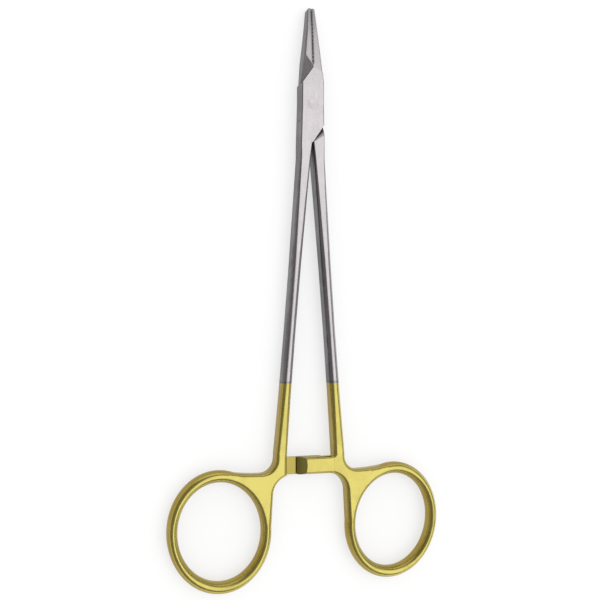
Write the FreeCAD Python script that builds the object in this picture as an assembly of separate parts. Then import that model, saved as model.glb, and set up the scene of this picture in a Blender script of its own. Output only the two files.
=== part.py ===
import FreeCAD, Part
import math
import os

# A ring-handled surgical needle holder, lying flat and closed, in millimetres.
# The pivot axis is the line X = 0, Y = 0, the tips point along +Y and Z = 0 is the face that it lies on.
# Each half crosses over in the box lock, so its jaw is on one side and its handle on the other.

# Box lock
box_thickness = 4.5
box_half_width = 3.05
box_top_half_width = 2.62
box_root_half_width = 3.35
box_straight_y = 6.0
box_top_y = 10.2
box_side_top_y = 8.8
box_root_y = -12.0
box_foot_y = -9.0
leaf_thickness = 1.5
leaf_gap = 0.05
lock_disc_radius = 5.2
lock_disc_gap = 0.1
upper_shoulder_low = 5.35
upper_shoulder_high = 9.8
lower_shoulder_high = -5.35
lower_shoulder_low = -9.95
shoulder_gap = 0.08
centre_gap = 0.06
edge_radius = 0.3

# Facets on the shoulders of the male half: the ends of the line on which each one starts
upper_facet_line = ((0.0, 10.4), (-1.55, 12.6))
lower_facet_line = ((0.0, -10.1), (3.2, -7.9))

# Lock pin
pin_radius = 1.1
pin_head_radius = 1.5
pin_head_depth = 0.4
pin_running_gap = 0.04

# Jaws: half the width at each Y, counted from the centre line
jaw_outline = ((8.0, 2.85), (11.0, 2.55), (16.0, 1.98), (21.0, 1.42), (26.2, 0.98))
jaw_root_y = 8.0
tip_y = 26.2
jaw_thicknesses = ((8.0, 4.42), (11.5, 4.1), (15.0, 3.65), (20.0, 3.15), (26.2, 2.3))
jaw_bevels = ((8.0, 0.55), (26.2, 0.2))
tip_corner_radius = 0.45
curve_start_y = 8.0
curve_drop = 0.75

# Jaw inserts
insert_base_y = 10.7
insert_thickness = 0.35
groove_pitch = 0.75
groove_depth = 0.13
groove_half_width = 0.2
groove_angle = 45.0

# Web between shank, ratchet arm and ring
web_thickness = 3.9
web_neck_y = -90.3
web_edge_radius = 1.0
web_sinking = 0.25
saddle_radius = 3.6
saddle_drop = 1.3
hollow_radius = 4.9
hollow_clearance = 0.15

# Shanks: width, thickness and corner radius at each Y, boxy at the root and oval along the middle
shank_widths = ((-92.0, 2.8), (web_neck_y, 2.95), (-84.0, 2.8), (-60.0, 2.55), (-33.0, 2.75), (-14.0, 2.85))
shank_thicknesses = ((-92.0, 3.8), (web_neck_y, web_thickness), (-84.0, 4.0), (-42.0, 4.0), (-24.0, 4.2), (-14.0, 4.42))
shank_radii = ((-84.0, web_edge_radius), (-75.0, 1.2), (-42.0, 1.15), (-24.0, 0.75), (-14.0, 0.45))
shank_stations = (-92.0, web_neck_y, -84.0, -75.0, -60.0, -42.0, -33.0, -24.0, -19.0, -14.0)
shank_crotch_y = -10.6
shank_crotch_gap = 0.2
shank_root_y = -8.5
shank_root_thickness = 4.48
shank_root_inset = 0.01
shank_slope = 0.0775
shank_axis_offset = 0.86

# Finger rings
ring_centre_x = 23.3
ring_centre_y = -108.65
ring_half_width = 11.82
ring_half_length = 13.56
ring_tilt = 9.5
ring_tube_width = 2.8
ring_tube_thickness = 4.0

# Ratchet
arm_top_y = -91.2
arm_bottom_y = -95.6
arm_reach = 3.4
arm_gap = 0.05
arm_end_slope = 2.4
arm_crown = 0.12
arm_root_radius = 0.8
tooth_pitch = 1.1
tooth_depth = 0.45
tooth_count = 5

box_outline = (
    (box_root_y, box_root_half_width),
    (0.0, box_half_width),
    (box_straight_y, box_half_width),
    (box_top_y, box_top_half_width),
)
ring_mean_radius = (ring_half_width + ring_half_length) / 2
mid_z = box_thickness / 2
plate_thickness = (box_thickness - leaf_thickness) / 2 - leaf_gap
web_low = mid_z - web_thickness / 2
web_high = mid_z + web_thickness / 2
far = 60.0


def point(x, y, z=0.0):
    return FreeCAD.Vector(x, y, z)


def prism(corners, low, high):
    """A straight block over a closed plan of corners, from the height low to the height high."""
    path = [point(x, y, low) for x, y in corners]
    return Part.Face(Part.makePolygon(path + path[:1])).extrude(point(0, 0, high - low))


def mirrored(shape):
    """The same shape on the other side of the centre line."""
    return shape.mirror(point(0, 0, 0), point(1, 0, 0))


def mirrored_all(shapes):
    return [mirrored(shape) for shape in shapes]


def joined(shapes):
    return shapes[0].multiFuse(shapes[1:]).removeSplitter()


def spread(pairs, y):
    """The value at y on the straight lines between pairs of (y, value)."""
    for (y0, value0), (y1, value1) in zip(pairs, pairs[1:]):
        if y <= y1:
            break
    return value0 + (value1 - value0) * (y - y0) / (y1 - y0)


def section(left, right, y, middle, thickness, left_radius, right_radius, rounded=True):
    """An upright rectangle across the Y axis, its corners rounded or bevelled by the given sizes, or square at 0."""
    low = middle - thickness / 2
    high = middle + thickness / 2
    corners = (
        (left + left_radius, low + left_radius, left_radius, 180),
        (right - right_radius, low + right_radius, right_radius, 270),
        (right - right_radius, high - right_radius, right_radius, 0),
        (left + left_radius, high - left_radius, left_radius, 90),
    )
    arcs = []
    for x, z, radius, start in corners:
        turns = [math.radians(start + turn) for turn in (0, 45, 90)]
        arcs.append([point(x + radius * math.cos(turn), y, z + radius * math.sin(turn)) for turn in turns])
    edges = []
    for arc, following in zip(arcs, arcs[1:] + arcs[:1]):
        if arc[0].distanceToPoint(arc[2]) > 0.001:
            corner = Part.Arc(*arc) if rounded else Part.LineSegment(arc[0], arc[2])
            edges.append(corner.toShape())
        edges.append(Part.LineSegment(arc[2], following[0]).toShape())
    return Part.Wire(edges)


def jaw_middle(y):
    """Height of the jaw's centre line, which falls towards the tip along a parabola."""
    along = max(0.0, (y - curve_start_y) / (tip_y - curve_start_y))
    return mid_z - curve_drop * along ** 2


def jaw_blank():
    """The right jaw with the room of its insert, from inside the box to the blunt tip."""
    wires = []
    steps = 6
    for step in range(steps + 1):
        y = jaw_root_y + (tip_y - jaw_root_y) * step / steps
        width = spread(jaw_outline, y)
        thickness = spread(jaw_thicknesses, y)
        bevel = spread(jaw_bevels, y)
        wires.append(section(centre_gap, width, y, jaw_middle(y), thickness, 0, bevel, rounded=False))
    blank = Part.makeLoft(wires, True, False)
    tip_x = jaw_outline[-1][1]
    inner_x = tip_x - tip_corner_radius
    inner_y = tip_y - tip_corner_radius
    corner = prism(((inner_x, inner_y), (tip_x + 1, inner_y), (tip_x + 1, tip_y + 1), (inner_x, tip_y + 1)), 0, far)
    rounding = Part.makeCylinder(tip_corner_radius, far, point(inner_x, inner_y))
    return blank.cut(corner.cut(rounding))


def insert_room():
    """The room that an insert takes along the gripping side of the right jaw."""
    return Part.makeBox(insert_thickness + 1, far, far, point(centre_gap - 1, insert_base_y, -far / 2))


def right_jaw():
    """The forged jaw on the right, with the seat of its insert."""
    return jaw_blank().cut(insert_room())


def groove(y, angle):
    """One V groove across the gripping face, turned by an angle in the plane of the face."""
    over = 0.1
    profile = [
        point(centre_gap - groove_depth * over, -groove_half_width * (1 + over)),
        point(centre_gap - groove_depth * over, groove_half_width * (1 + over)),
        point(centre_gap + groove_depth, 0),
    ]
    bar = Part.Face(Part.makePolygon(profile + profile[:1])).extrude(point(0, 0, 3 * box_thickness))
    bar.translate(point(0, 0, -1.5 * box_thickness))
    bar.rotate(point(0, 0, 0), point(1, 0, 0), angle)
    bar.translate(point(0, y, jaw_middle(y)))
    return bar


def jaw_insert():
    """The carbide plate of the right jaw, its gripping face cut crosswise into diamonds."""
    plate = jaw_blank().common(insert_room())
    step = groove_pitch / math.cos(math.radians(groove_angle))
    start = insert_base_y - box_thickness
    cuts = []
    for index in range(int((tip_y + box_thickness - start) / step)):
        for angle in (groove_angle, -groove_angle):
            cuts.append(groove(start + index * step, angle))
    return plate.cut(cuts)


def box_bar():
    """The long blank of the lock over its full width, from the handle roots to the jaw roots."""
    wires = []
    for y, half in box_outline:
        wires.append(section(-half, half, y, mid_z, box_thickness, edge_radius, edge_radius))
    return Part.makeLoft(wires, True, True)


def upper_shoulder(x, gap=0.0):
    """Y of the slanting line on which the plates end towards the male jaw, moved up by a gap square to it."""
    slope = (upper_shoulder_high - upper_shoulder_low) / box_half_width
    return upper_shoulder_high + slope * x + gap * math.hypot(1, slope)


def lower_shoulder(x, gap=0.0):
    """Y of the slanting line on which the plates end towards the male shank, moved down by a gap square to it."""
    slope = (lower_shoulder_high - lower_shoulder_low) / box_half_width
    return lower_shoulder_low + slope * x - gap * math.hypot(1, slope)


def plates():
    """Both plates of the box and what closes it at two corners, before the slot and the pin's hole are cut."""
    side = box_root_half_width + 1
    side_top_y = box_top_y - (box_top_y - box_side_top_y) * side / box_half_width
    plan = (
        (-side, upper_shoulder(-side)),
        (centre_gap, upper_shoulder(centre_gap)),
        (side, side_top_y),
        (side, lower_shoulder(side)),
        (-centre_gap, lower_shoulder(-centre_gap)),
        (-2 * shank_crotch_gap, lower_shoulder(-centre_gap)),
        (-2 * shank_crotch_gap, box_foot_y),
        (-side, box_foot_y),
    )
    return box_bar().common(prism(plan, 0, box_thickness))


def lock_slot():
    """The slot through the box: a disc round the pin, open towards the male jaw and the male shank."""
    half = leaf_thickness / 2 + leaf_gap
    disc = Part.makeCylinder(lock_disc_radius + lock_disc_gap, 2 * half, point(0, 0, mid_z - half))
    jaw_side = prism(((centre_gap, 0), (centre_gap, far), (-far, far), (-far, 0)), mid_z - half, mid_z + half)
    shank_side = prism(((-centre_gap, 0), (-centre_gap, -far), (far, -far), (far, 0)), mid_z - half, mid_z + half)
    return disc.multiFuse([jaw_side, shank_side])


def leaf():
    """The thin middle of the male half, flush with the sides of the box."""
    half = leaf_thickness / 2
    side = box_root_half_width + 1
    over = 1.0
    disc = Part.makeCylinder(lock_disc_radius, leaf_thickness, point(0, 0, mid_z - half))
    jaw_side = prism(
        ((-centre_gap, 0), (-centre_gap, upper_shoulder(0, over)), (-side, upper_shoulder(-side, over)), (-side, 0)),
        mid_z - half, mid_z + half,
    )
    shank_side = prism(
        ((centre_gap, 0), (centre_gap, shank_root_y), (2 * shank_crotch_gap, shank_crotch_y),
         (side, lower_shoulder(side, over)), (side, 0)),
        mid_z - half, mid_z + half,
    )
    return disc.multiFuse([jaw_side, shank_side]).common(box_bar())


def lock_zone():
    """The plan of the box with the shoulder gap all along both slanting ends, over the full thickness."""
    side = box_root_half_width + 1
    plan = (
        (-side, upper_shoulder(-side, shoulder_gap)),
        (side, upper_shoulder(side, shoulder_gap)),
        (side, lower_shoulder(side, shoulder_gap)),
        (-side, lower_shoulder(-side, shoulder_gap)),
    )
    return prism(plan, 0, box_thickness)


def shoulders():
    """The full-thickness roots of the male half beyond the slanting ends of the plates: jaw side, shank side."""
    side = box_root_half_width + 1
    side_top_y = box_top_y - (box_top_y - box_side_top_y) * side / box_half_width
    jaw_side = prism(((-side, 0), (-centre_gap, 0), (-centre_gap, box_top_y), (-side, side_top_y)), 0, box_thickness)
    shank_side = prism(((centre_gap, 0), (side, 0), (side, box_foot_y), (centre_gap, box_foot_y)),
                       0, box_thickness)
    bar = box_bar().cut(lock_zone())
    return bar.common(jaw_side), bar.common(shank_side)


def facet_cutters(start, end, low_corner):
    """Blocks that cut a shoulder's two faces to a slope, from a line down to the leaf's level at a corner."""
    along = (end - start).normalize()
    towards = point(low_corner[0], low_corner[1], box_thickness) - start
    across = towards - along * towards.dot(along)
    slope = math.atan(plate_thickness / across.Length)
    down = across.normalize() * math.cos(slope) - point(0, 0, 1) * math.sin(slope)
    normal = down.cross(along)
    if normal.z < 0:
        normal = normal * -1
    block = Part.makeBox(far, far, far, point(-far / 2, 0, 0))
    turn = FreeCAD.Rotation(along, down, normal, "ZYX")
    block.Placement = FreeCAD.Placement(start, turn).multiply(block.Placement)
    return [block, block.mirror(point(0, 0, mid_z), point(0, 0, 1))]


def shank_axis(y):
    return shank_axis_offset - shank_slope * y


def shank():
    """The right shank, from inside the lock to inside the web."""
    wires = []
    for y in shank_stations:
        half = spread(shank_widths, y) / 2
        radius = spread(shank_radii, y)
        wires.append(section(shank_axis(y) - half, shank_axis(y) + half, y, mid_z,
                             spread(shank_thicknesses, y), radius, radius))
    for y, inner in ((shank_crotch_y, shank_crotch_gap), (shank_root_y, centre_gap)):
        outer = spread(box_outline, y) - shank_root_inset
        wires.append(section(inner, outer, y, mid_z, shank_root_thickness, edge_radius, edge_radius))
    return Part.makeLoft(wires, True, True)


def ring_point(angle, outwards=0.0, height=mid_z):
    """A point on the right ring's centre line, or beside it in its plane, at an angle along the leaning oval."""
    turn = math.radians(angle)
    lean = math.radians(ring_tilt)
    stretch = 1 + outwards / ring_mean_radius
    across = ring_half_width * stretch * math.cos(turn)
    along = ring_half_length * stretch * math.sin(turn)
    x = ring_centre_x + across * math.cos(lean) + along * math.sin(lean)
    y = ring_centre_y - across * math.sin(lean) + along * math.cos(lean)
    return point(x, y, height)


def finger_ring():
    """A plain round ring stretched to the oval's width and length and to the tube's thickness, then leant outwards."""
    ring = Part.makeTorus(ring_mean_radius, ring_tube_width / 2)
    stretch = FreeCAD.Matrix()
    stretch.scale(ring_half_width / ring_mean_radius, ring_half_length / ring_mean_radius,
                  ring_tube_thickness / ring_tube_width)
    ring = ring.transformGeometry(stretch)
    ring.rotate(point(0, 0, 0), point(0, 0, 1), -ring_tilt)
    ring.translate(point(ring_centre_x, ring_centre_y, mid_z))
    return ring


def circle_point(centre, radius, angle):
    turn = math.radians(angle)
    return point(centre.x + radius * math.cos(turn), centre.y + radius * math.sin(turn), centre.z)


def arc_on(centre, radius, start, end):
    """The part of a circle in the plan from one angle to another."""
    places = [circle_point(centre, radius, angle) for angle in (start, (start + end) / 2, end)]
    return Part.Arc(*places).toShape()


def hollow_centre(height):
    """Centre of the round hollow between the ratchet arm and the side of the ring."""
    side_x = min(ring_point(angle, ring_tube_width / 2).x for angle in range(180, 200)) - hollow_clearance
    return point(side_x - hollow_radius, arm_bottom_y - hollow_radius, height)


def inner_side_x():
    """Where the inner side of the right shank runs into the web."""
    return shank_axis(web_neck_y) - spread(shank_widths, web_neck_y) / 2


def straight_edge(start, end):
    return Part.LineSegment(start, end).toShape()


def crest_kink(start, angle, sunk):
    """How sharply an arc that leaves the start level would meet the ring at an angle along it, in radians."""
    end = ring_point(angle, sunk)
    ahead = ring_point(angle - 1, sunk) - ring_point(angle + 1, sunk)
    return abs(2 * math.atan2(end.y - start.y, end.x - start.x) - math.atan2(ahead.y, ahead.x))


def web_plate(ring_line):
    """The web alone: its hollow side, the sides that run into the ring, the ring's centre line, and the saddle."""
    inner_neck = point(inner_side_x(), web_neck_y, web_low)
    outer_neck = inner_neck + point(spread(shank_widths, web_neck_y), 0, 0)
    hollow = hollow_centre(web_low)
    hollow_start = math.degrees(math.acos((inner_neck.x - hollow.x) / hollow_radius))
    ring_high_y = max(ring_point(angle, ring_tube_width / 2).y for angle in range(80, 100))
    saddle_y = ring_high_y - saddle_drop
    lean = math.degrees(math.atan(shank_slope))
    outer_x = outer_neck.x + shank_slope * (web_neck_y - saddle_y - saddle_radius)
    saddle = point(outer_x + saddle_radius / math.cos(math.radians(lean)), saddle_y + saddle_radius, web_low)
    saddle_start = circle_point(saddle, saddle_radius, 180 + lean)
    sunk = ring_tube_width / 2 - web_sinking
    ring_side = ring_point(187, sunk, web_low)
    top_angle = min(range(95, 140), key=lambda angle: crest_kink(point(saddle.x, saddle_y), angle, sunk))
    ring_top = ring_point(top_angle, sunk, web_low)
    rise = ring_top.y - saddle_y
    run = ring_top.x - saddle.x
    crest_radius = (run ** 2 + rise ** 2) / (2 * rise)
    crest = point(saddle.x, saddle_y + crest_radius, web_low)
    crest_turn = math.degrees(math.atan2(run, crest_radius - rise))
    edges = [
        arc_on(hollow, hollow_radius, hollow_start, 0),
        straight_edge(circle_point(hollow, hollow_radius, 0), ring_side),
        straight_edge(ring_side, ring_line[0]),
    ]
    edges += [straight_edge(first, second) for first, second in zip(ring_line, ring_line[1:])]
    edges += [
        straight_edge(ring_line[-1], ring_top),
        arc_on(crest, crest_radius, 270 + crest_turn, 270),
        arc_on(saddle, saddle_radius, 270, 180 + lean),
        straight_edge(saddle_start, outer_neck),
        straight_edge(outer_neck, inner_neck),
        straight_edge(inner_neck, circle_point(hollow, hollow_radius, hollow_start)),
    ]
    return Part.Face(Part.Wire(edges)).extrude(point(0, 0, web_thickness))


def arm_plate():
    """The ratchet arm before its teeth are cut, above the middle and rounded into the web on both sides."""
    low = mid_z + arm_gap
    root_x = inner_side_x() + 1
    hollow = hollow_centre(low)
    hollow_end = math.degrees(math.acos((root_x - hollow.x) / hollow_radius))
    corner = circle_point(hollow, hollow_radius, hollow_end)
    rounding = point(inner_side_x() - arm_root_radius, arm_top_y + arm_root_radius, low)
    tip_top = point(-arm_reach, arm_top_y, low)
    tip_bottom = point(-arm_reach, arm_bottom_y, low)
    root_top = point(root_x, rounding.y, low)
    edges = [
        straight_edge(tip_bottom, circle_point(hollow, hollow_radius, 90)),
        arc_on(hollow, hollow_radius, 90, hollow_end),
        straight_edge(corner, root_top),
        straight_edge(root_top, circle_point(rounding, arm_root_radius, 0)),
        arc_on(rounding, arm_root_radius, 0, -90),
        straight_edge(circle_point(rounding, arm_root_radius, 270), tip_top),
        straight_edge(tip_top, tip_bottom),
    ]
    return Part.Face(Part.Wire(edges)).extrude(point(0, 0, web_high - low))


def arm_cutters():
    """What is cut from the arm: its sloping end, the teeth under it, and its roof's two gentle slopes."""
    low = mid_z + arm_gap
    slope_x = arm_end_slope - arm_reach
    end = [(-arm_reach, low + tooth_depth), (-arm_reach - 1, low + tooth_depth), (-arm_reach - 1, web_high + 1),
           (slope_x, web_high + 1), (slope_x, web_high)]
    teeth = [(-arm_reach, low - 1)]
    for index in range(tooth_count + 1):
        root = -arm_reach + index * tooth_pitch
        teeth.append((root, low + tooth_depth))
        teeth.append((root + tooth_pitch, low))
    teeth.append((teeth[-1][0], low - 1))
    cutters = []
    for outline in (end, teeth):
        corners = [point(x, arm_bottom_y - 1, z) for x, z in outline]
        side = Part.Face(Part.makePolygon(corners + corners[:1]))
        cutters.append(side.extrude(point(0, arm_top_y - arm_bottom_y + 2, 0)))
    ridge_y = (arm_top_y + arm_bottom_y) / 2
    for edge_y in (arm_top_y, arm_bottom_y):
        corners = [point(-arm_reach - 1, ridge_y, web_high), point(-arm_reach - 1, edge_y, web_high - arm_crown),
                   point(-arm_reach - 1, edge_y, web_high + 1), point(-arm_reach - 1, ridge_y, web_high + 1)]
        side = Part.Face(Part.makePolygon(corners + corners[:1]))
        cutters.append(side.extrude(point(inner_side_x() + arm_reach + 1, 0, 0)))
    return cutters


def web():
    """The flat web that joins the right shank, the ring and the ratchet arm, rounded along all its free sides."""
    ring_line = [ring_point(angle, 0, web_low) for angle in (205, 185, 165, 145, 125, 105, 85)]
    hidden = [(first + second) / 2 for first, second in zip(ring_line, ring_line[1:])]
    plate = web_plate(ring_line).fuse(arm_plate()).removeSplitter()
    chosen = []
    for edge in plate.Edges:
        middle = edge.valueAt((edge.FirstParameter + edge.LastParameter) / 2)
        level = abs(edge.Vertexes[0].Z - edge.Vertexes[-1].Z) < 0.001
        on_face = min(abs(middle.z - web_low), abs(middle.z - web_high)) < 0.001
        at_end = middle.y > web_neck_y - 0.001 or middle.x < 0.001 - arm_reach
        inside = min(math.hypot(middle.x - place.x, middle.y - place.y) for place in hidden) < 0.001
        if level and on_face and not at_end and not inside:
            chosen.append(edge)
    plate = plate.makeFillet(web_edge_radius, chosen)
    return plate.cut(arm_cutters())


def turned_under(shape):
    """The same web for the left half, turned about the middle line: its arm lies below, with its teeth up."""
    turned = shape.copy()
    turned.rotate(point(0, 0, mid_z), point(0, 1, 0), 180)
    return turned


def lock_pin():
    """The riveted pin, its flared heads sunk in the plates and ground flush with them."""
    profile = [
        point(0, 0, 0),
        point(pin_head_radius, 0, 0),
        point(pin_radius, 0, pin_head_depth),
        point(pin_radius, 0, box_thickness - pin_head_depth),
        point(pin_head_radius, 0, box_thickness),
        point(0, 0, box_thickness),
    ]
    face = Part.Face(Part.makePolygon(profile + profile[:1]))
    return face.revolve(point(0, 0, 0), point(0, 0, 1), 360)


def female_half():
    """Right jaw, slotted box, left handle and lower ratchet arm, forged in one."""
    handle = mirrored_all([shank(), finger_ring()])
    solid = joined([plates(), right_jaw()] + handle + [turned_under(web())])
    return solid.cut([lock_slot(), lock_pin()])


def male_half():
    """Left jaw, thin leaf, right handle and upper ratchet arm, forged in one."""
    jaw_corner = (-box_half_width, upper_shoulder(-box_half_width))
    shank_corner = (box_half_width, lower_shoulder(box_half_width))
    jaw_side, shank_side = shoulders()
    jaw_end = jaw_side.fuse(mirrored(right_jaw()).cut(lock_zone()))
    line = [point(x, y, jaw_middle(y) + spread(jaw_thicknesses, y) / 2) for x, y in upper_facet_line]
    jaw_end = jaw_end.cut(facet_cutters(line[0], line[1], jaw_corner))
    shank_end = shank_side.fuse(shank().cut(lock_zone()))
    line = [point(x, y, box_thickness) for x, y in lower_facet_line]
    shank_end = shank_end.cut(facet_cutters(line[0], line[1], shank_corner))
    solid = joined([leaf(), jaw_end, shank_end, web(), finger_ring()])
    hole = Part.makeCylinder(pin_radius + pin_running_gap, far, point(0, 0, -far / 2))
    return solid.cut(hole)


def main():
    os.makedirs("parts", exist_ok=True)
    parts = {
        "female_half": female_half(),
        "male_half": male_half(),
        "lock_pin": lock_pin(),
        "female_jaw_insert": jaw_insert(),
        "male_jaw_insert": mirrored(jaw_insert()),
    }
    for name, shape in parts.items():
        box = shape.optimalBoundingBox()
        print(name, "solids", len(shape.Solids), "valid", shape.isValid(), "volume", round(shape.Volume, 1),
              "size", round(box.XLength, 2), round(box.YLength, 2), round(box.ZLength, 2), "low", round(box.ZMin, 3))
        shape.exportStep(f"parts/{name}.step")


if __name__ == "__main__":
    main()
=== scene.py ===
"""Surgical needle holder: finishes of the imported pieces, floor, light and camera."""

import math

import bpy
from bpy.props import FloatProperty, FloatVectorProperty, PointerProperty
from mathutils import Matrix, Vector


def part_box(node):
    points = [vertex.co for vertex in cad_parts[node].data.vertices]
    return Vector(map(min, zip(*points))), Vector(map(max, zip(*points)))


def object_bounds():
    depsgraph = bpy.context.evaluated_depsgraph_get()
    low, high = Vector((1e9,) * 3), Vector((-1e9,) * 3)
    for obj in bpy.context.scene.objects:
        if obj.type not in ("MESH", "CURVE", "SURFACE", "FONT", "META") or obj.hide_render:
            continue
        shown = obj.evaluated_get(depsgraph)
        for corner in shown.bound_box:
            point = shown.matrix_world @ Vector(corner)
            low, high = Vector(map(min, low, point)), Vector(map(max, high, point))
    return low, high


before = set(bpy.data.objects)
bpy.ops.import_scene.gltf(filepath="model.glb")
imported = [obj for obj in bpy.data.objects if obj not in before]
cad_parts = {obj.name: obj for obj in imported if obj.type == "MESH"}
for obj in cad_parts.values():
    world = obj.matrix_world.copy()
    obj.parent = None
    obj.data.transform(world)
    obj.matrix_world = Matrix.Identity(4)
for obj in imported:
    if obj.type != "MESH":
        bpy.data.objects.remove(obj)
cad_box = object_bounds()

bl_info = {
    "name": "Needle Holder Finishes",
    "version": (1, 0, 0),
    "blender": (4, 5, 0),
    "location": "View3D > Sidebar > Needle Holder",
    "description": "Satin steel, gold plating and carbide for a box-lock needle holder, with its stage",
    "category": "Material",
}

# A face counts as a flat above the first limit and as a side or a facet below the second, and the sides and
# each facet get painted shade. Both are the upright part of its normal, which is 1 on a level face.
STEEL_SIDE_SHADE_LIMITS = (0.82, 0.60)
STEEL_FACET_SHADE_LIMITS = (0.985, 0.955)
GOLD_SIDE_SHADE_LIMITS = (0.98, 0.50)
# Share of the painted shade that each facet gets.
FACET_SHADE_SHARE = 0.5

# Distances from the middle level at which the painted shade on the faces of the handles starts and is full.
RECESS_SHADE_LIMITS = (0.0013, 0.0008)
RECESS_SHADE_SHARE = 0.5

PLATING_EDGE = 0.0001
LINE_SHARE = 0.55
LINE_TONE = 0.5

# How far the roughness goes below and above its value with the grain or the worn patches.
STEEL_SPREAD = (-0.05, 0.07)
GOLD_SPREAD = (-0.03, 0.06)
PIN_SPREAD = (-0.03, 0.08)
CARBIDE_SPREAD = (-0.06, 0.08)

WORN_TONE = 0.7
STEEL_WEAR_SHARE = 0.2
GOLD_WEAR_SHARE = 0.25

GRAIN_ACROSS = 4500.0
GRAIN_STRENGTH = 0.08
GRAIN_DEPTH = 0.00005

PIN_PATCH_SIZE = 400.0
PIN_WEAR_SHARE = 0.35
PIN_TONES = (0.97, 0.8)
SEAM_INSETS = (0.00018, 0.00006)
SEAM_SHARE = 0.15

CARBIDE_GRAIN = (2500.0, 2500.0, 2500.0)
CARBIDE_SPECKLE_SIZE = 9000.0
CARBIDE_TONES = (0.75, 1.2)
CARBIDE_STRENGTH = 0.25
CARBIDE_DEPTH = 0.00003

FLOOR_SIZE = 6.0
FLOOR_ROUGHNESS = 0.9

# The lit ceiling, the backdrop and the far wall are given by the direction that they lie in, as parts of
# a unit vector. Each step runs from its dark end to its lit end. The ceiling's edges are its left, right,
# near and far one.
CEILING_EDGES = (
    ("X", (-0.03, 0.13)),
    ("X", (0.80, 0.55)),
    ("Y", (-0.75, -0.50)),
    ("Y", (0.68, 0.42)),
)
BACKDROP_HEIGHT = (0.29, 0.18)
FAR_WALL_START = (0.78, 0.88)
FAR_WALL_HEIGHT = (0.62, 0.46)

CAMERA_PLACE = Vector((-0.07211, -0.06252, 0.19681))
CAMERA_YAW = math.radians(19.655)
CAMERA_PITCH = math.radians(-3.163)
CAMERA_ROLL = math.radians(-0.269)
CAMERA_LENS = 48.0
CAMERA_SENSOR = 36.0
CAMERA_NEAREST = 0.01


class SteelFinish(bpy.types.PropertyGroup):
    """Satin steel of the jaws, the box and the upper shanks."""

    flat_colour: FloatVectorProperty(
        name="Ground flats", description="Colour of the flats, which are ground bright",
        subtype="COLOR", size=3, min=0, max=1, default=(0.755, 0.71, 0.722))
    # Painted shade: the sides are given a darker colour than the flats.
    shaded_side_colour: FloatVectorProperty(
        name="Shaded sides", description="Colour of the sides, which get painted shade",
        subtype="COLOR", size=3, min=0, max=1, default=(0.135, 0.126, 0.127))
    roughness: FloatProperty(
        name="Roughness", description="How widely the satin steel scatters a reflection",
        min=0, max=1, default=0.30)
    grain_length: FloatProperty(
        name="Grain length", description="Length of the fine grinding marks",
        subtype="DISTANCE", unit="LENGTH", min=0.0001, default=0.004)


class GoldFinish(bpy.types.PropertyGroup):
    """Gold plating of the lower shanks, the ratchet arms and the rings."""

    colour: FloatVectorProperty(
        name="Plating", description="Colour of the gold plating where it is polished",
        subtype="COLOR", size=3, min=0, max=1, default=(0.80, 0.69, 0.19))
    # Painted shade: the plating on the sides is given a darker colour than on the flats.
    shaded_side_colour: FloatVectorProperty(
        name="Shaded plating on the sides",
        description="Colour of the plating over the sides, which get painted shade too",
        subtype="COLOR", size=3, min=0, max=1, default=(0.33, 0.235, 0.045))
    roughness: FloatProperty(
        name="Roughness", description="How widely the plating scatters a reflection",
        min=0, max=1, default=0.26)
    start: FloatProperty(
        name="Start of the plating", description="Distance from the lock pin to the edge of the plating",
        subtype="DISTANCE", unit="LENGTH", min=0.03, max=0.1, default=0.0725)
    line_width: FloatProperty(
        name="Dark line", description="Width of the darker line on the steel beside the plating",
        subtype="DISTANCE", unit="LENGTH", min=0, default=0.0009)


class CarbideFinish(bpy.types.PropertyGroup):
    """Sintered carbide of the jaw inserts."""

    colour: FloatVectorProperty(
        name="Carbide", description="Colour of the sintered carbide",
        subtype="COLOR", size=3, min=0, max=1, default=(0.46, 0.45, 0.435))
    roughness: FloatProperty(
        name="Roughness", description="How widely the carbide scatters a reflection",
        min=0, max=1, default=0.42)


class StageSettings(bpy.types.PropertyGroup):
    """Floor, light and camera."""

    floor_colour: FloatVectorProperty(
        name="Floor", description="Colour of the plain floor",
        subtype="COLOR", size=3, min=0, max=1, default=(0.96, 0.96, 0.96))
    room_level: FloatProperty(
        name="Room light", description="Brightness of the room away from the lit ceiling",
        min=0, default=0.18)
    ceiling_level: FloatProperty(
        name="Ceiling", description="Brightness of the lit ceiling above the object",
        min=0, default=1.08)
    backdrop_level: FloatProperty(
        name="Backdrop", description="Brightness of the low white backdrop all round and of the far wall",
        min=0, default=1.0)
    fill_level: FloatProperty(
        name="Floor fill", description="Strength of the soft light that reaches the floor from above",
        min=0, default=2.1)
    floor_whiteness: FloatProperty(
        name="White floor",
        description="How far the floor that the camera and the metal see is plain white",
        min=0, max=1, default=0.62)


def add_node(tree, kind, inputs=None, **settings):
    """Add a node, set its properties, and fill its inputs with values or with links to other outputs."""
    node = tree.nodes.new(kind)
    for key, value in settings.items():
        setattr(node, key, value)
    for key, value in (inputs or {}).items():
        if isinstance(value, bpy.types.NodeSocket):
            tree.links.new(value, node.inputs[key])
        else:
            node.inputs[key].default_value = value
    return node


def value_math(tree, operation, first, second=0.5):
    """One step of arithmetic on one or two values. A step on one value ignores the second."""
    return add_node(tree, "ShaderNodeMath", {0: first, 1: second}, operation=operation).outputs[0]


def mapped(tree, value, low, high, to_low=0.0, to_high=1.0, smooth=False):
    """A value carried from one range to another, held at the ends."""
    ranges = {"Value": value, "From Min": low, "From Max": high, "To Min": to_low, "To Max": to_high}
    kind = "SMOOTHSTEP" if smooth else "LINEAR"
    return add_node(tree, "ShaderNodeMapRange", ranges, interpolation_type=kind).outputs["Result"]


def colour_mix(tree, mask, first, second, share=1.0):
    """The first colour, gone over to the second by the given share where the mask is 1."""
    factor = mask if share == 1.0 else value_math(tree, "MULTIPLY", mask, share)
    return add_node(tree, "ShaderNodeMix", {0: factor, 6: first, 7: second}, data_type="RGBA").outputs[2]


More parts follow.
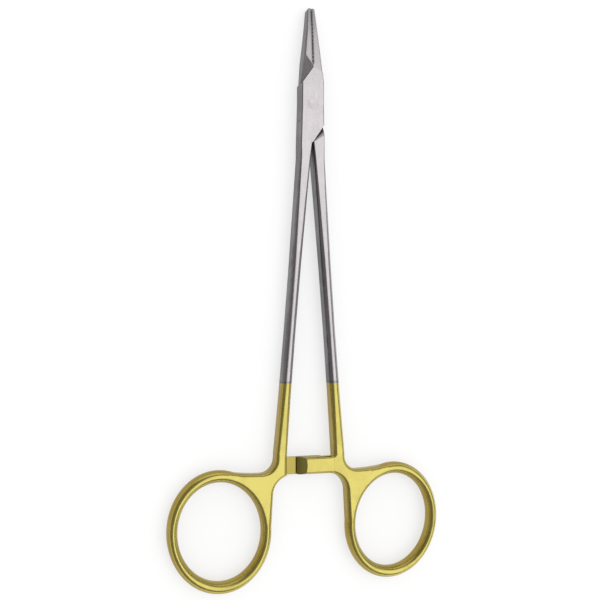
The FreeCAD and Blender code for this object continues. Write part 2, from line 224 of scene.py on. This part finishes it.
def toned(colour, tone=1.0):
    """A colour made lighter or darker by one factor, with the alpha that a socket asks for."""
    return (colour[0] * tone, colour[1] * tone, colour[2] * tone, 1.0)


def new_group(name, inputs, outputs):
    """An empty node group with named sockets: inputs as (name, type, default), outputs as (name, type)."""
    group = bpy.data.node_groups.new(name, "ShaderNodeTree")
    for label, kind, value in inputs:
        socket = group.interface.new_socket(name=label, in_out="INPUT", socket_type=kind)
        if value is not None:
            socket.default_value = value
    for label, kind in outputs:
        group.interface.new_socket(name=label, in_out="OUTPUT", socket_type=kind)
    return group


def satin_grain_group(name):
    """Grinding marks: the mean of noise drawn out along one axis and of a finer, rounder speckle."""
    group = new_group(
        name,
        [("Vector", "NodeSocketVector", None), ("Stretch", "NodeSocketVector", (3000.0, 250.0, 3000.0)),
         ("Speckle size", "NodeSocketFloat", 2500.0)],
        [("Tone", "NodeSocketFloat"), ("Height", "NodeSocketFloat")])
    given = add_node(group, "NodeGroupInput").outputs
    place = add_node(group, "ShaderNodeVectorMath", {0: given["Vector"], 1: given["Stretch"]},
                     operation="MULTIPLY").outputs[0]
    streaks = add_node(group, "ShaderNodeTexNoise",
                       {"Vector": place, "Scale": 1.0, "Detail": 3.0, "Roughness": 0.6}).outputs["Fac"]
    speckle = add_node(group, "ShaderNodeTexNoise",
                       {"Vector": given["Vector"], "Scale": given["Speckle size"],
                        "Detail": 2.0}).outputs["Fac"]
    both = value_math(group, "MULTIPLY", value_math(group, "ADD", streaks, speckle), 0.5)
    add_node(group, "NodeGroupOutput", {"Tone": mapped(group, both, 0.35, 0.65), "Height": both})
    return group


def handling_group(name):
    """Soft patches where hands and cloths have dulled the metal: large noise, held to its brighter half."""
    group = new_group(
        name,
        [("Vector", "NodeSocketVector", None), ("Patch size", "NodeSocketFloat", 120.0)],
        [("Patches", "NodeSocketFloat")])
    given = add_node(group, "NodeGroupInput").outputs
    noise = add_node(group, "ShaderNodeTexNoise",
                     {"Vector": given["Vector"], "Scale": given["Patch size"],
                      "Detail": 4.0, "Roughness": 0.55, "Distortion": 0.4}).outputs["Fac"]
    add_node(group, "NodeGroupOutput", {"Patches": mapped(group, noise, 0.38, 0.66, smooth=True)})
    return group


def shaded_sides_group(name):
    """How far a face gets the painted shade of a side: 0 on the flats and 1 on the sides, by its normal's
    upright part.
    """
    group = new_group(
        name,
        [("Normal", "NodeSocketVector", None), ("Flat limit", "NodeSocketFloat", 0.85),
         ("Side limit", "NodeSocketFloat", 0.35)],
        [("Shaded sides", "NodeSocketFloat")])
    given = add_node(group, "NodeGroupInput").outputs
    upright = add_node(group, "ShaderNodeSeparateXYZ", {0: given["Normal"]}).outputs["Z"]
    flat = value_math(group, "ABSOLUTE", upright)
    sides = mapped(group, flat, given["Flat limit"], given["Side limit"], smooth=True)
    add_node(group, "NodeGroupOutput", {"Shaded sides": sides})
    return group


def shared_group(tree, name, build, inputs):
    """Place a shared node group, built the first time it is asked for, and give its outputs."""
    group = bpy.data.node_groups.get(name) or build(name)
    return add_node(tree, "ShaderNodeGroup", inputs, node_tree=group).outputs


def slope_shade_mask(tree, normal, limits):
    """The mask of painted shade on the sloped faces, between the two limits."""
    inputs = {"Normal": normal, "Flat limit": limits[0], "Side limit": limits[1]}
    return shared_group(tree, "Shaded sides", shaded_sides_group, inputs)["Shaded sides"]


def new_material(name):
    """A material with a bare Principled shader, its node tree and that shader."""
    material = bpy.data.materials.new(name)
    material.use_nodes = True
    tree = material.node_tree
    tree.nodes.clear()
    shader = add_node(tree, "ShaderNodeBsdfPrincipled")
    add_node(tree, "ShaderNodeOutputMaterial", {"Surface": shader.outputs["BSDF"]})
    return material, tree, shader


def spread_roughness(tree, mask, roughness, spread):
    """A roughness that goes from one end of its spread to the other with the mask."""
    return mapped(tree, mask, 0, 1, roughness + spread[0], roughness + spread[1])


def make_metal(tree, shader, colour, roughness):
    """Link a colour and a roughness to the shader and make it bare metal."""
    tree.links.new(colour, shader.inputs["Base Color"])
    tree.links.new(roughness, shader.inputs["Roughness"])
    shader.inputs["Metallic"].default_value = 1.0


def add_bump(tree, shader, height, strength, depth):
    """Raise the surface by a height pattern of the given depth in metres."""
    bump = add_node(tree, "ShaderNodeBump", {"Height": height, "Strength": strength, "Distance": depth})
    tree.links.new(bump.outputs["Normal"], shader.inputs["Normal"])


def steel_colour(tree, steel, normal, patches, line):
    """Bright flats, painted shade on the sides and half as much on each facet, worn patches and the line
    beside the plating.
    """
    flat = toned(steel.flat_colour)
    side = toned(steel.shaded_side_colour)
    # Painted shade, half on each facet and then full on the sides.
    facet_shade = slope_shade_mask(tree, normal, STEEL_FACET_SHADE_LIMITS)
    colour = colour_mix(tree, facet_shade, flat, side, FACET_SHADE_SHARE)
    colour = colour_mix(tree, slope_shade_mask(tree, normal, STEEL_SIDE_SHADE_LIMITS), colour, side)
    colour = colour_mix(tree, patches, colour, toned(steel.flat_colour, WORN_TONE), STEEL_WEAR_SHARE)
    return colour_mix(tree, line, colour, toned(steel.shaded_side_colour, LINE_TONE), LINE_SHARE)


def gold_colour(tree, gold, normal, patches, recess_shade):
    """Polished flats and painted shade on the sides, with worn patches. The recessed faces get painted
    shade halfway.
    """
    side = toned(gold.shaded_side_colour)
    # Painted shade at half strength on the faces near the middle level.
    colour = colour_mix(tree, recess_shade, toned(gold.colour), side, RECESS_SHADE_SHARE)
    # Painted shade on the sides.
    colour = colour_mix(tree, slope_shade_mask(tree, normal, GOLD_SIDE_SHADE_LIMITS), colour, side)
    return colour_mix(tree, patches, colour, toned(gold.colour, WORN_TONE), GOLD_WEAR_SHARE)


def forged_material(steel, gold, middle):
    """Satin steel, ground bright on its flats, with gold plating over the handles from a sharp line on.

    The faces near the middle level, such as the inner faces of the ratchet arms, get painted shade.
    """
    material, tree, shader = new_material("forged_steel_and_gold")
    place = add_node(tree, "ShaderNodeTexCoord").outputs
    stretch = (GRAIN_ACROSS, 1 / steel.grain_length, GRAIN_ACROSS)
    grain = shared_group(tree, "Satin grain", satin_grain_group,
                         {"Vector": place["Object"], "Stretch": stretch})
    patches = shared_group(tree, "Handling", handling_group, {"Vector": place["Object"]})["Patches"]
    parts = add_node(tree, "ShaderNodeSeparateXYZ", {0: place["Object"]}).outputs
    from_middle = value_math(tree, "ABSOLUTE", value_math(tree, "SUBTRACT", parts["Z"], middle))
    # Painted shade on the faces near the middle level.
    recess_shade = mapped(tree, from_middle, *RECESS_SHADE_LIMITS)
    edge = -gold.start
    plated = mapped(tree, parts["Y"], edge + PLATING_EDGE, edge - PLATING_EDGE)
    line = value_math(tree, "SUBTRACT", mapped(tree, parts["Y"], edge + gold.line_width, edge), plated)
    ground = steel_colour(tree, steel, place["Normal"], patches, line)
    plating = gold_colour(tree, gold, place["Normal"], patches, recess_shade)
    steel_rough = spread_roughness(tree, grain["Tone"], steel.roughness, STEEL_SPREAD)
    gold_rough = spread_roughness(tree, patches, gold.roughness, GOLD_SPREAD)
    rough = add_node(tree, "ShaderNodeMix", {0: plated, 2: steel_rough, 3: gold_rough}).outputs[0]
    make_metal(tree, shader, colour_mix(tree, plated, ground, plating), rough)
    add_bump(tree, shader, grain["Height"], GRAIN_STRENGTH, GRAIN_DEPTH)
    return material


def pin_material(steel, radius):
    """The pin's steel, ground flush with the plates, with a fine dark seam round its edge.

    The seam is a mask of the distance from the pin's axis.
    """
    material, tree, shader = new_material("pin_steel_ground")
    vector = add_node(tree, "ShaderNodeTexCoord").outputs["Object"]
    parts = add_node(tree, "ShaderNodeSeparateXYZ", {0: vector}).outputs
    across = add_node(tree, "ShaderNodeCombineXYZ", {0: parts["X"], 1: parts["Y"]}).outputs[0]
    out = add_node(tree, "ShaderNodeVectorMath", {0: across}, operation="LENGTH").outputs["Value"]
    seam = mapped(tree, out, radius - SEAM_INSETS[0], radius - SEAM_INSETS[1])
    patches = shared_group(tree, "Handling", handling_group,
                           {"Vector": vector, "Patch size": PIN_PATCH_SIZE})["Patches"]
    bright, worn = [toned(steel.flat_colour, tone) for tone in PIN_TONES]
    colour = colour_mix(tree, patches, bright, worn, PIN_WEAR_SHARE)
    colour = colour_mix(tree, seam, colour, toned(steel.shaded_side_colour), SEAM_SHARE)
    make_metal(tree, shader, colour, spread_roughness(tree, patches, steel.roughness, PIN_SPREAD))
    return material


def carbide_material(carbide):
    """Sintered carbide: dark, finely speckled and duller than the steel round it."""
    material, tree, shader = new_material("carbide_sintered")
    vector = add_node(tree, "ShaderNodeTexCoord").outputs["Object"]
    grain = shared_group(
        tree, "Satin grain", satin_grain_group,
        {"Vector": vector, "Stretch": CARBIDE_GRAIN, "Speckle size": CARBIDE_SPECKLE_SIZE})
    dark, light = [toned(carbide.colour, tone) for tone in CARBIDE_TONES]
    rough = spread_roughness(tree, grain["Tone"], carbide.roughness, CARBIDE_SPREAD)
    make_metal(tree, shader, colour_mix(tree, grain["Tone"], dark, light), rough)
    add_bump(tree, shader, grain["Height"], CARBIDE_STRENGTH, CARBIDE_DEPTH)
    return material


def give_material(node, material):
    """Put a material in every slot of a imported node."""
    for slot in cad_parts[node].material_slots:
        slot.material = material


class FinishForgings(bpy.types.Operator):
    """Give both forged halves their satin steel and gold plating"""

    bl_idname = "needle_holder.finish_forgings"
    bl_label = "Finish the forged halves"

    def execute(self, context):
        low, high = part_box("lock_pin")
        middle = (low[2] + high[2]) / 2
        material = forged_material(context.scene.needle_steel, context.scene.needle_gold, middle)
        for node in ("female_half", "male_half"):
            give_material(node, material)
        return {"FINISHED"}


class FinishPin(bpy.types.Operator):
    """Give the lock pin its ground steel and the seam round it"""

    bl_idname = "needle_holder.finish_pin"
    bl_label = "Finish the lock pin"

    def execute(self, context):
        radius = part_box("lock_pin")[1][0]
        give_material("lock_pin", pin_material(context.scene.needle_steel, radius))
        return {"FINISHED"}


class FinishInserts(bpy.types.Operator):
    """Give both jaw inserts their sintered carbide"""

    bl_idname = "needle_holder.finish_inserts"
    bl_label = "Finish the jaw inserts"

    def execute(self, context):
        material = carbide_material(context.scene.needle_carbide)
        for node in ("female_jaw_insert", "male_jaw_insert"):
            give_material(node, material)
        return {"FINISHED"}


def add_floor(settings):
    """A level square floor at the object's lowest point, partly plain white to the camera and the metal."""
    half = FLOOR_SIZE / 2
    level = cad_box[0][2]
    corners = [(-half, -half, level), (half, -half, level), (half, half, level), (-half, half, level)]
    mesh = bpy.data.meshes.new("floor")
    mesh.from_pydata(corners, [], [(0, 1, 2, 3)])
    floor = bpy.data.objects.new("floor", mesh)
    bpy.context.scene.collection.objects.link(floor)
    material, tree, shader = new_material("floor_matte")
    shader.inputs["Base Color"].default_value = toned(settings.floor_colour)
    shader.inputs["Roughness"].default_value = FLOOR_ROUGHNESS
    shader.inputs["Specular IOR Level"].default_value = 0.0
    rays = add_node(tree, "ShaderNodeLightPath").outputs
    seen = value_math(tree, "MAXIMUM", rays["Is Camera Ray"], rays["Is Glossy Ray"])
    seen = value_math(tree, "MAXIMUM", seen, rays["Is Transmission Ray"])
    share = value_math(tree, "MULTIPLY", seen, settings.floor_whiteness)
    white = add_node(tree, "ShaderNodeEmission", {"Color": (1, 1, 1, 1), "Strength": 1.0})
    both = add_node(tree, "ShaderNodeMixShader", {0: share, 1: shader.outputs["BSDF"], 2: white.outputs[0]})
    tree.links.new(both.outputs[0], tree.nodes["Material Output"].inputs["Surface"])
    mesh.materials.append(material)


def add_fill(settings):
    """A light from the whole sky at once, which no reflection shows: it lights the floor, not the metal."""
    lamp = bpy.data.lights.new("floor_fill", "SUN")
    lamp.energy = settings.fill_level
    lamp.angle = math.pi
    fill = bpy.data.objects.new("floor_fill", lamp)
    bpy.context.scene.collection.objects.link(fill)
    fill.visible_glossy = False


def add_room(settings):
    """A plain room: a lit ceiling panel, a low white backdrop all round and a taller wall behind the tips.

    Each is a product of smooth steps over the direction, and the brightest one counts.
    """
    world = bpy.data.worlds.new("room")
    bpy.context.scene.world = world
    world.use_nodes = True
    tree = world.node_tree
    tree.nodes.clear()
    place = add_node(tree, "ShaderNodeTexCoord").outputs["Generated"]
    parts = add_node(tree, "ShaderNodeSeparateXYZ", {0: place}).outputs
    panel = 1.0
    for axis, limits in CEILING_EDGES:
        panel = value_math(tree, "MULTIPLY", mapped(tree, parts[axis], *limits, smooth=True), panel)
    level = mapped(tree, panel, 0, 1, settings.room_level, settings.ceiling_level)
    white = (0.0, settings.backdrop_level)
    backdrop = mapped(tree, parts["Z"], *BACKDROP_HEIGHT, *white, smooth=True)
    level = value_math(tree, "MAXIMUM", level, backdrop)
    wall = value_math(tree, "MULTIPLY", mapped(tree, parts["Y"], *FAR_WALL_START, smooth=True),
                      mapped(tree, parts["Z"], *FAR_WALL_HEIGHT, *white, smooth=True))
    level = value_math(tree, "MAXIMUM", level, wall)
    background = add_node(tree, "ShaderNodeBackground", {"Color": (1, 1, 1, 1), "Strength": level})
    add_node(tree, "ShaderNodeOutputWorld", {"Surface": background.outputs[0]})


def add_camera():
    """The photograph's camera: it looks down, turned about the long, the sideways and the upright axis."""
    camera = bpy.data.cameras.new("camera")
    camera.lens = CAMERA_LENS
    camera.sensor_width = CAMERA_SENSOR
    camera.clip_start = CAMERA_NEAREST
    view = bpy.data.objects.new("camera", camera)
    bpy.context.scene.collection.objects.link(view)
    turn = (Matrix.Rotation(CAMERA_ROLL, 3, "Z") @ Matrix.Rotation(CAMERA_PITCH, 3, "X")
            @ Matrix.Rotation(CAMERA_YAW, 3, "Y"))
    view.matrix_world = Matrix.Translation(CAMERA_PLACE) @ turn.transposed().to_4x4()
    bpy.context.scene.camera = view


class BuildStage(bpy.types.Operator):
    """Add the floor, the soft fill, the room and the camera"""

    bl_idname = "needle_holder.build_stage"
    bl_label = "Build the stage"

    def execute(self, context):
        settings = context.scene.needle_stage
        add_floor(settings)
        add_fill(settings)
        add_room(settings)
        add_camera()
        context.scene.view_settings.view_transform = "Standard"
        return {"FINISHED"}


class NeedleHolderPanel(bpy.types.Panel):
    """Finishes of the needle holder and its stage"""

    bl_idname = "VIEW3D_PT_needle_holder"
    bl_label = "Needle Holder"
    bl_space_type = "VIEW_3D"
    bl_region_type = "UI"
    bl_category = "Needle Holder"

    def draw(self, context):
        for name, label in (("needle_steel", "Steel"), ("needle_gold", "Gold plating"),
                            ("needle_carbide", "Carbide"), ("needle_stage", "Stage")):
            box = self.layout.box()
            box.label(text=label)
            settings = getattr(context.scene, name)
            for key in settings.__annotations__:
                box.prop(settings, key)
        for operator in OPERATORS:
            self.layout.operator(operator.bl_idname)


OPERATORS = (FinishForgings, FinishPin, FinishInserts, BuildStage)
GROUPS = {"needle_steel": SteelFinish, "needle_gold": GoldFinish, "needle_carbide": CarbideFinish,
          "needle_stage": StageSettings}


def register():
    """Add the classes, and one group of settings of each kind to the scene."""
    for kind in tuple(GROUPS.values()) + OPERATORS + (NeedleHolderPanel,):
        bpy.utils.register_class(kind)
    for name, kind in GROUPS.items():
        setattr(bpy.types.Scene, name, PointerProperty(type=kind))


def unregister():
    """Take the settings and the classes out again."""
    for name in GROUPS:
        delattr(bpy.types.Scene, name)
    for kind in (NeedleHolderPanel,) + OPERATORS + tuple(GROUPS.values()):
        bpy.utils.unregister_class(kind)


def main():
    """Register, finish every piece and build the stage."""
    register()
    bpy.ops.needle_holder.finish_forgings()
    bpy.ops.needle_holder.finish_pin()
    bpy.ops.needle_holder.finish_inserts()
    bpy.ops.needle_holder.build_stage()


if __name__ == "__main__":
    main()
